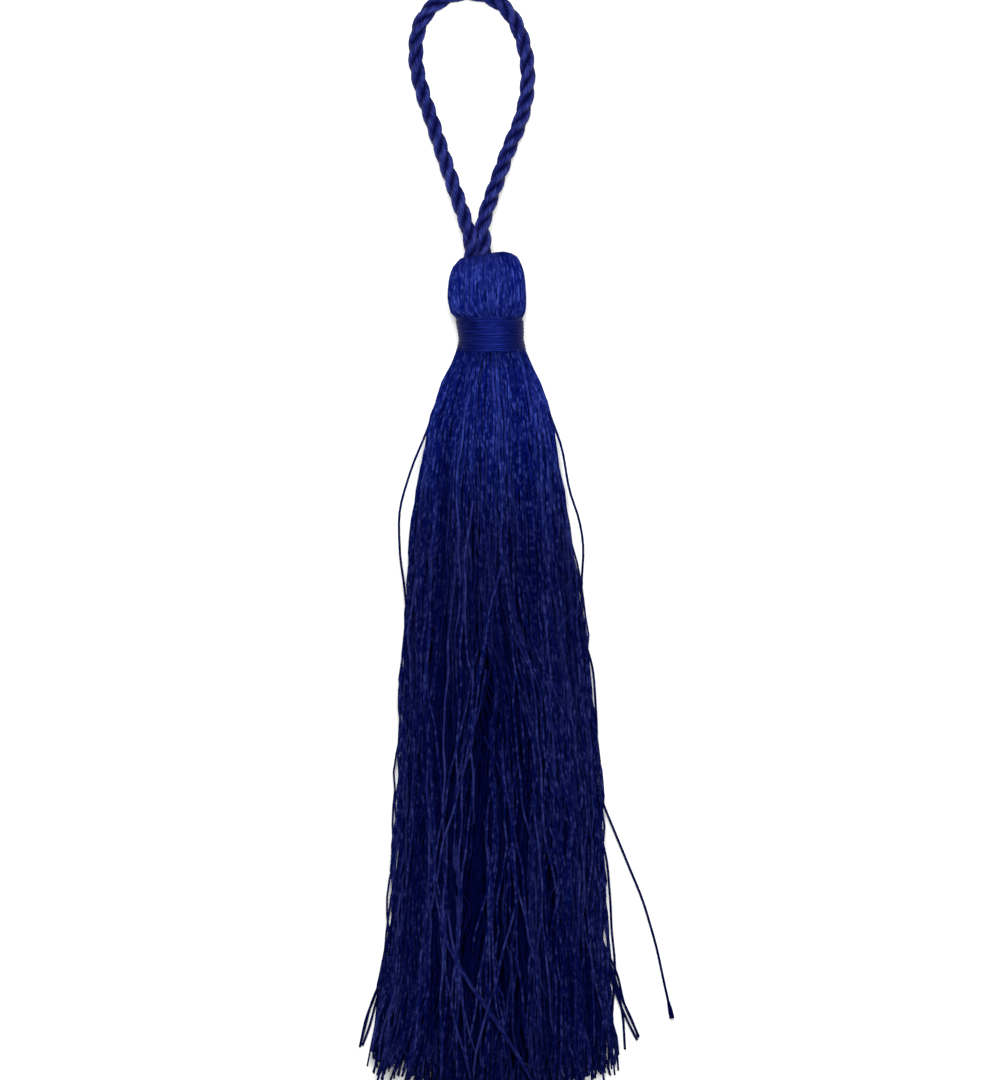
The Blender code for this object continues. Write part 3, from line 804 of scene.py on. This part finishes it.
def layThreads(which, points, sides):
    # the paths of some of the skirt's threads. Each belongs to a lock: the lock sways and sinks, and its
    # threads draw together, wind round its middle, and wave and lean a little each in its own way
    share = np.linspace(0, 1, points)[None]
    down = blend(skirt["start"], cut[which], share)
    free = smoothStep(*skirt["free"], down)
    middleG, middleH = lockG[nearest[which], None], lockH[nearest[which], None]
    offG, offH = g0[which] - middleG, h0[which] - middleH

    drawn = blend(skirt["drawUnder"], 1.0, smoothStep(*skirt["drawHeights"], h0[which]))
    draw = 1 - skirt["drawTogether"] * free * drawn
    draw = draw * (1 - skirt["tipsTogether"] * smoothStep(*skirt["tips"], down))
    spin = skirt["turnRound"] * free * np.sin(lockPhases[0][which])
    g = middleG + draw * (offG * np.cos(spin) - skirt["turnAcross"] * offH * np.sin(spin))
    h = middleH + draw * (offH * np.cos(spin) + offG * np.sin(spin))

    length, size = skirt["lockSway"]
    sway = size * np.sin(down / length + lockPhases[1][which])
    g = g + free * (skirt["lockLean"] * lockLean[which] + sway)
    g = g + free * skirt["ownLean"] * ownLean[which]
    length, size = skirt["ownRise"]
    h = h + size * free * np.sin(down / length + ownPhases[6][which])
    length, size = skirt["lockRise"]
    rise = size * np.sin(down / length + lockPhases[2][which])
    h = h + free * (rise - skirt["lockSink"] * np.abs(lockSink[which]))
    fan = skirt["fan"]
    fanned = smoothStep(*fan["down"], down) * smoothStep(*fan["up"], h)
    fanned = fanned * np.exp(-(((g0[which] - fan["middle"]) / fan["width"]) ** 2))
    leftmost, rightmost, highest = skirt["limits"]
    g = np.clip(g + fan["shift"] * fanned, leftmost, rightmost)
    h = np.clip(h, -1, highest)

    across, up = skirtPlace(g, h, down)
    crimp = blend(skirt["wavesAtNeck"], 1.0, free)
    across = across + crimp * wave(down, *skirt["wavesAcross"], ownPhases[:3, which])
    up = up + crimp * wave(down, *skirt["wavesUp"], ownPhases[3:6, which])
    across = partThreads(across, up, down)
    radius = threadSize[which] * blend(skirt["neckRadius"], 1.0, smoothStep(*skirt["neckGrowth"], down))
    sunk = valleyDepth(across, up, down)
    up = np.maximum(up - skirt["valleySink"] * sunk, radius + skirt["floorGap"])

    left, right, _, height, _ = skirtSection(down)
    # painted shade: the deeper a point lies under the section's surface or in a valley, and the nearer the
    # neck, the darker; less near the cut ends
    depth = np.minimum((1 - np.abs(h)) * height / 2, (1 - np.abs(g)) * (right - left) / 2)
    depth = np.maximum(depth, 0) * blend(*skirt["depthSpread"], free) + sunk
    depth = depth + skirt["neckDepth"] * (1 - smoothStep(*skirt["neckShade"], down))
    depth = np.minimum(depth, skirt["endReach"] * (cut[which] - down))
    return tube(place(across, down, up), radius, sides, aside=upwards, tone=tone[which], depth=depth)


topTubes = layThreads(onTop, points=56, sides=5)
newPiece("skirt_top_threads", [topTubes], floss, ("thread_bundle",))
sideTubes = layThreads(outer & ~onTop, points=40, sides=4)
newPiece("skirt_side_threads", [sideTubes], floss)
underTubes = layThreads(~outer, points=20, sides=3)
newPiece("skirt_under_threads", [underTubes], floss)


# loose threads: those that stray from the skirt, and those that lie across it

loose = {
    "radius": 0.21,
    "points": 34,
    "curveSteps": 8,
    # one stray is thicker, and frayed at the end
    "thick": 4,
    "thickRadius": 0.22,
    "frayedRadii": (0.4, 0.44),
    # lengths and sizes of the waves of a thread, and how much of them a stray and any other thread has
    "waves": ((8.0, 15.0), (0.06, 0.12)),
    "strayWaves": 0.25,
    "otherWaves": 1.2,
    "strayTones": (0.1, 0.6),
    "otherTones": (0.3, 0.95),
    "strayDepth": 1.0,  # a lone thread looks darker than one among others, so it gets this much painted shade
    "domePower": 2.35,
    # across, down and up of points along each stray thread
    "strays": (
        ((-7.6, 21.5, 5.0), (-9.75, 27.5, 5.0), (-12.2, 33.7, 4.6), (-14.0, 39.9, 4.0), (-14.0, 46.1, 3.2),
         (-13.3, 52.0, 3.0), (-12.8, 60.0, 3.5), (-12.9, 75.0, 3.0)),
        ((9.2, 25.0, 6.0), (11.1, 30.6, 5.6), (12.3, 36.8, 5.0), (13.8, 41.5, 4.2), (14.4, 46.1, 3.6),
         (14.2, 52.3, 3.4), (14.3, 62.0, 3.6), (15.2, 78.0, 3.2)),
        ((13.4, 54.0, 3.6), (14.7, 60.0, 3.2), (15.9, 64.7, 2.8), (16.4, 70.9, 2.4), (16.6, 75.5, 2.2),
         (16.6, 84.0, 2.4), (17.0, 96.0, 2.0)),
        ((14.9, 82.0, 4.0), (17.7, 92.5, 2.6), (18.5, 98.7, 2.0), (18.9, 104.9, 1.4), (19.35, 111.1, 1.0),
         (19.0, 118.0, 0.6)),
        ((14.0, 74.0, 4.4), (17.0, 84.0, 2.6), (19.2, 89.5, 1.5), (21.7, 95.6, 0.8), (24.1, 101.8, 0.4),
         (25.9, 108.0, 0.26), (27.2, 114.2, 0.26), (28.3, 119.0, 0.26)),
        ((16.2, 106.0, 2.0), (19.2, 112.8, 1.2), (20.6, 118.5, 0.7), (21.0, 123.8, 0.4)),
        ((-14.0, 108.0, 2.4), (-16.0, 116.0, 1.6), (-17.9, 123.2, 0.5)),
        ((-13.0, 110.0, 2.8), (-15.4, 119.0, 1.8), (-17.6, 125.6, 0.5)),
        ((-12.0, 112.0, 3.0), (-14.4, 121.0, 1.8), (-17.2, 127.6, 0.5)),
        ((14.0, 112.0, 2.8), (16.6, 120.0, 1.8), (18.7, 127.8, 0.5)),
    ),
    # small locks that point outwards at the hem's corners, side by side
    "tipLocks": (
        ((-14.8, 104.0, 2.0), (-16.8, 112.0, 1.2), (-18.6, 118.0, 0.7), (-20.0, 123.2, 0.4)),
        ((-14.4, 104.0, 2.2), (-16.1, 112.0, 1.4), (-17.1, 118.0, 0.9), (-17.7, 122.4, 0.5)),
        ((15.8, 103.5, 2.6), (18.9, 111.6, 1.6), (20.8, 117.3, 1.0), (23.0, 122.3, 0.5)),
    ),
    "threadsInTip": 3,
    "tipSpacing": 0.33,
    "tipTaper": (1.3, 0.75),  # the share of that spacing at the top and at the tip
    "tipJitter": 0.1,
    "tipLengths": (-0.6, 0.3),
    "tipRise": 0.15,  # how far every other thread lies over its neighbours
    # threads that drift over the others: across and down where they come up, and where they go under
    # again, how many, and how far apart
    "drifts": (
        ((3.2, 44.0), (-5.0, 87.0), 2, 0.7), ((3.0, 44.0), (15.4, 78.0), 1, 1.2),
        ((3.4, 52.0), (14.6, 92.0), 2, 1.3), ((2.8, 62.0), (12.4, 104.0), 2, 1.4),
        ((-10.4, 54.0), (-7.2, 88.0), 1, 0.4), ((-8.0, 30.0), (-10.6, 76.0), 3, 0.35),
        ((0.8, 70.0), (9.4, 116.0), 2, 0.9), ((-1.0, 66.0), (-9.0, 108.0), 2, 0.9),
        ((-7.0, 98.0), (-2.5, 129.0), 3, 0.8), ((2.6, 96.0), (-2.8, 129.0), 2, 0.8),
        ((-0.5, 98.0), (3.0, 129.0), 2, 0.8), ((-9.0, 96.0), (-11.5, 127.0), 2, 0.6),
    ),
    "driftStretch": 4.0,  # their ends are this much less even down than across
    # threads that cross the others anywhere: how many, how far down they come up and how long they are, how
    # wide they start and lean, and how near the sides they may come
    "crossing": 22,
    "crossingFrom": (24.0, 92.0),
    "crossingLengths": (24.0, 56.0),
    "crossingWidth": 0.8,
    "crossingLean": 2.4,
    "crossingLimit": 0.85,
    "lowest": 128.0,
    # how far threads that lie on the skirt bend to an S and to a C, and how high they rise out of it, and
    # how deep in it their ends are
    "bendTwice": 0.07,
    "bendOnce": 0.6,
    "rise": (1.2, 0.9),
    # across and down along a wisp that lies across the hem, and its threads' distances from that line
    "wisp": ((-9.3, 84.0), (-8.6, 96.0), (-6.8, 106.0), (-2.4, 114.0), (2.4, 121.0), (6.9, 128.4)),
    "wispThreads": (-0.35, 0.0, 0.4),
    "wispRise": (1.1, 0.8),
}


def topUp(across, down):
    # the height of the skirt's top: height · (1 - |x / half width|^p)^(1/p)
    left, right, clear, height, _ = skirtSection(down)
    power = loose["domePower"]
    x = np.clip(np.abs((across - (left + right) / 2) / ((right - left) / 2)), 0, 1)
    return clear + height * (1 - x**power) ** (1 / power)


def curveThrough(points):
    return evenly(throughPoints(points, loose["curveSteps"]), loose["points"])


def layOnTop(across, down, rise, ends):
    # a thread that comes up out of the skirt's top and goes under again: rise √sin(π share) - ends over it
    return np.column_stack([across, down, topUp(across, down) + rise * np.sin(np.pi * share) ** 0.5 - ends])


share = np.linspace(0, 1, loose["points"])
lines = [curveThrough(route) for route in loose["strays"]]
for route in loose["tipLocks"]:
    for thread in range(loose["threadsInTip"]):
        shift = (thread - (loose["threadsInTip"] - 1) / 2) * loose["tipSpacing"]
        shifted = np.array(route) + (0, dice.uniform(*loose["tipLengths"]), loose["tipRise"] * (thread % 2))
        shift = shift + dice.uniform(-loose["tipJitter"], loose["tipJitter"])
        shifted[:, 0] += shift * np.linspace(*loose["tipTaper"], len(route))
        lines.append(curveThrough(shifted))
strayCount = len(lines)

ends = []
for start, end, many, spread in loose["drifts"]:
    for _ in range(many):
        uneven = dice.normal(0, spread, (2, 2)) * (1, loose["driftStretch"])
        ends.append(np.minimum(np.array([start, end]) + uneven, (np.inf, loose["lowest"])))
for _ in range(loose["crossing"]):
    down = dice.uniform(*loose["crossingFrom"]) + np.array([0, dice.uniform(*loose["crossingLengths"])])
    down = np.minimum(down, loose["lowest"])
    half = readTable(skirt["sections"], 2, down)
    across = loose["crossingWidth"] * dice.uniform(-1, 1) * half + (0, dice.normal(0, loose["crossingLean"]))
    limit = loose["crossingLimit"] * half
    ends.append(np.column_stack([np.clip(across, -limit, limit), down]))
for start, end in ends:
    bend = dice.normal(0, loose["bendTwice"]) * np.sin(2 * np.pi * share)
    across = blend(start[0], end[0], share + bend)
    across = across + dice.normal(0, loose["bendOnce"]) * np.sin(np.pi * share)
    lines.append(layOnTop(across, blend(start[1], end[1], share), *loose["rise"]))
for shift in loose["wispThreads"]:
    across, down = (curveThrough(loose["wisp"]) + (shift, 2 * shift)).T
    lines.append(layOnTop(across, down, *loose["wispRise"]))

lines = np.array(lines)
across, down, up = (lines[..., k] for k in range(3))
number = np.arange(len(lines))[:, None]
phases = dice.uniform(0, 2 * np.pi, (2, len(lines), 1))
waviness = np.where(number < len(loose["strays"]), loose["strayWaves"], loose["otherWaves"])
across = across + waviness * wave(down, *loose["waves"], phases)
radius = np.full(down.shape, loose["radius"])
radius[loose["thick"]] = loose["thickRadius"]
radius[loose["thick"], -2:] = loose["frayedRadii"]
# painted shade: a stray gets a fixed amount, any other thread its depth under the skirt's top
depth = np.where(number < strayCount, loose["strayDepth"], np.maximum(0, topUp(across, down) - up))
strayTones = dice.uniform(*loose["strayTones"], strayCount)
otherTones = dice.uniform(*loose["otherTones"], len(lines) - strayCount)
looseTubes = tube(
    place(across, down, np.maximum(up, radius + skirt["floorGap"])),
    radius,
    sides=5,
    aside=upwards,
    tone=np.concatenate([strayTones, otherTones]),
    depth=depth,
)
looseTubes["along"] = down - skirt["start"]  # so that these threads get the same painted shade down the skirt as those beside them
newPiece("loose_threads", [looseTubes], floss)
